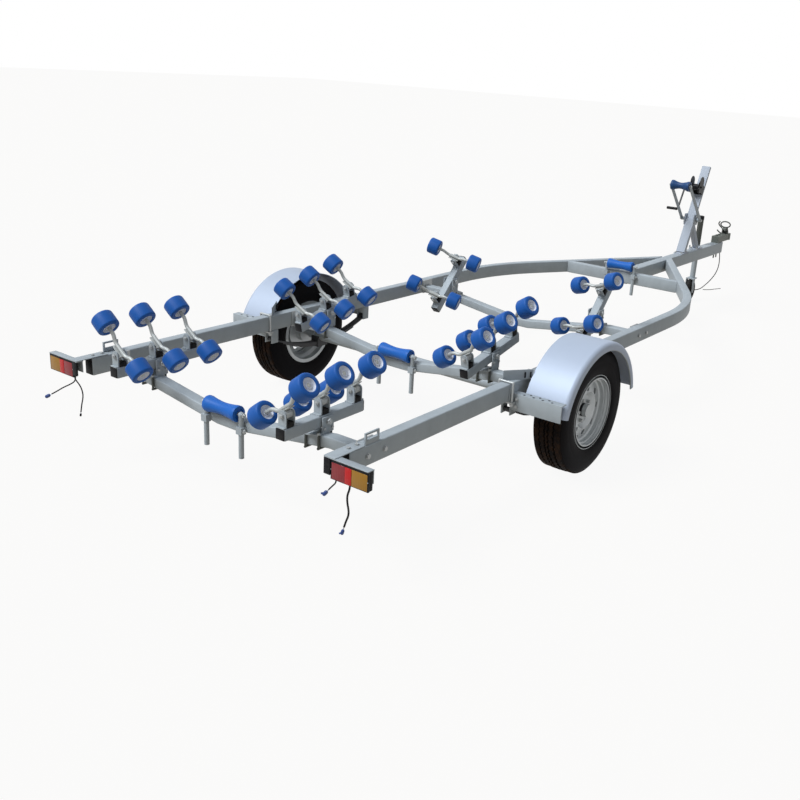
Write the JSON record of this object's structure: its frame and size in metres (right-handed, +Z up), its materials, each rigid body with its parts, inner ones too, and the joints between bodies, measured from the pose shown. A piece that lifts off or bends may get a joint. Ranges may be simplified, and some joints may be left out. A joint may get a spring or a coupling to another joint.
{
  "type": "boat trailer",
  "caption": "Galvanised single-axle roller trailer for a boat, with beams of wobble rollers, keel rollers, winch post, jockey wheel and rear lamps.",
  "frame": {"origin": "on the floor, half way along the trailer and on its centre line", "axes": "+X to the trailer's right, +Y forward to the coupling, +Z up"},
  "size_m": [2.2, 6.6685, 1.2369],
  "materials": {
    "galvanised_steel": "mottled satin zinc",
    "bright_zinc": "bright zinc",
    "coupling_steel": "dull zinc",
    "spring_steel": "satin",
    "mudguard_sheet": "smooth satin zinc",
    "tyre_rubber": "matte",
    "rim_steel": "satin",
    "roller_blue": "satin",
    "keel_blue": "satin",
    "bow_roller_blue": "satin",
    "lamp_black": "satin",
    "lens_red": "gloss",
    "lens_amber": "gloss",
    "winch_black": "satin",
    "grip_black": "satin",
    "jockey_rubber": "matte",
    "lead_black": "satin",
    "plug_black": "satin"
  },
  "bodies": {
    "chassis": {"axle_beam": "galvanised_steel", "beam_pedestals": "galvanised_steel", "bow_stop": "galvanised_steel", "coupling_body": "coupling_steel", "coupling_handle": "bright_zinc", "crossmember_clamps": "bright_zinc", "crossmember_forward": "galvanised_steel", "crossmember_middle": "galvanised_steel", "crossmember_nose": "galvanised_steel", "crossmember_rear": "galvanised_steel", "drawbar": "galvanised_steel", "front_cable": "lead_black", "front_cable_tail": "lead_black", "jockey_clamp": "galvanised_steel", "keel_roller_stems": "galvanised_steel", "lamp_brackets": "galvanised_steel", "lamp_housings": "lamp_black", "lamp_lead_left_long": "lead_black", "lamp_lead_left_short": "lead_black", "lamp_lead_right_long": "lead_black", "lamp_lead_right_short": "lead_black", "lamp_lenses_amber": "lens_amber", "lamp_lenses_red": "lens_red", "leaf_springs": "spring_steel", "mudguard_brackets": "galvanised_steel", "mudguard_left": "mudguard_sheet", "mudguard_right": "mudguard_sheet", "plug_shells": "plug_black", "side_rail_left": "galvanised_steel", "side_rail_right": "galvanised_steel", "spring_hangers": "galvanised_steel", "tie_down_loops": "galvanised_steel", "winch_arms": "galvanised_steel", "winch_frame": "winch_black", "winch_post": "galvanised_steel"},
    "wheel_right": {"tyre_right": "tyre_rubber", "rim_right": "rim_steel"},
    "wheel_left": {"tyre_left": "tyre_rubber", "rim_left": "rim_steel"},
    "jockey_leg_body": {"jockey_leg": "galvanised_steel"},
    "jockey_fork_body": {"jockey_fork": "galvanised_steel"},
    "jockey_wheel_body": {"jockey_wheel": "jockey_rubber"},
    "winch_crank": {"winch_drum": "winch_black", "winch_grip": "grip_black"},
    "bow_roller_body": {"bow_roller": "bow_roller_blue"},
    "keel_rear": {"keel_roller_rear": "keel_blue"},
    "keel_middle": {"keel_roller_middle": "keel_blue"},
    "keel_front": {"keel_roller_front": "keel_blue"},
    "set_rear_right": {"roller_beam_rear_right": "galvanised_steel", "rollers_rear_right": "roller_blue"},
    "set_rear_left": {"roller_beam_rear_left": "galvanised_steel", "rollers_rear_left": "roller_blue"},
    "set_middle_right": {"roller_beam_middle_right": "galvanised_steel", "rollers_middle_right": "roller_blue"},
    "set_middle_left": {"roller_beam_middle_left": "galvanised_steel", "rollers_middle_left": "roller_blue"},
    "set_forward_right": {"roller_beam_forward_right": "galvanised_steel", "rollers_forward_right": "roller_blue"},
    "set_forward_left": {"roller_beam_forward_left": "galvanised_steel", "rollers_forward_left": "roller_blue"}
  },
  "joints": [
    {"name": "wheel_right_spin", "type": "hinge", "parent": "chassis", "child": "wheel_right", "pos_m": [0.978, -1.545, 0.325], "axis": [1, 0, 0], "continuous": true},
    {"name": "wheel_left_spin", "type": "hinge", "parent": "chassis", "child": "wheel_left", "pos_m": [-0.978, -1.545, 0.325], "axis": [1, 0, 0], "continuous": true},
    {"name": "jockey_raise", "type": "slide", "parent": "chassis", "child": "jockey_leg_body", "axis": [0, 0, 1], "range_m": [0, 0.19]},
    {"name": "jockey_swivel", "type": "hinge", "parent": "jockey_leg_body", "child": "jockey_fork_body", "pos_m": [-0.078, 2.665, 0.214], "axis": [0, 0, 1], "continuous": true},
    {"name": "jockey_wheel_spin", "type": "hinge", "parent": "jockey_fork_body", "child": "jockey_wheel_body", "pos_m": [-0.078, 2.625, 0.1], "axis": [1, 0, 0], "continuous": true},
    {"name": "winch_crank_turn", "type": "hinge", "parent": "chassis", "child": "winch_crank", "pos_m": [0, 2.22468, 1.07155], "axis": [1, 0, 0], "continuous": true},
    {"name": "bow_roller_spin", "type": "hinge", "parent": "chassis", "child": "bow_roller_body", "pos_m": [0, 1.875, 1.104], "axis": [1, 0, 0], "continuous": true},
    {"name": "keel_rear_spin", "type": "hinge", "parent": "chassis", "child": "keel_rear", "pos_m": [0, -3.0173, 0.452], "axis": [1, 0, 0], "continuous": true},
    {"name": "keel_middle_spin", "type": "hinge", "parent": "chassis", "child": "keel_middle", "pos_m": [0, -1.8093, 0.452], "axis": [1, 0, 0], "continuous": true},
    {"name": "keel_front_spin", "type": "hinge", "parent": "chassis", "child": "keel_front", "pos_m": [0, 0.9027, 0.572], "axis": [1, 0, 0], "continuous": true},
    {"name": "set_rear_right_tilt", "type": "hinge", "parent": "chassis", "child": "set_rear_right", "pos_m": [0.525, -2.956, 0.532], "axis": [1, 0, 0], "range_deg": [-8, 8]},
    {"name": "set_rear_left_tilt", "type": "hinge", "parent": "chassis", "child": "set_rear_left", "pos_m": [-0.525, -2.956, 0.532], "axis": [1, 0, 0], "range_deg": [-8, 8]},
    {"name": "set_middle_right_tilt", "type": "hinge", "parent": "chassis", "child": "set_middle_right", "pos_m": [0.558, -1.751, 0.556], "axis": [1, 0, 0], "range_deg": [-8, 8]},
    {"name": "set_middle_left_tilt", "type": "hinge", "parent": "chassis", "child": "set_middle_left", "pos_m": [-0.558, -1.751, 0.556], "axis": [1, 0, 0], "range_deg": [-8, 8]},
    {"name": "set_forward_right_tilt", "type": "hinge", "parent": "chassis", "child": "set_forward_right", "pos_m": [0.54, -0.557, 0.566], "axis": [1, 0, 0], "range_deg": [-8, 8]},
    {"name": "set_forward_left_tilt", "type": "hinge", "parent": "chassis", "child": "set_forward_left", "pos_m": [-0.54, -0.557, 0.566], "axis": [1, 0, 0], "range_deg": [-8, 8]}
  ]
}
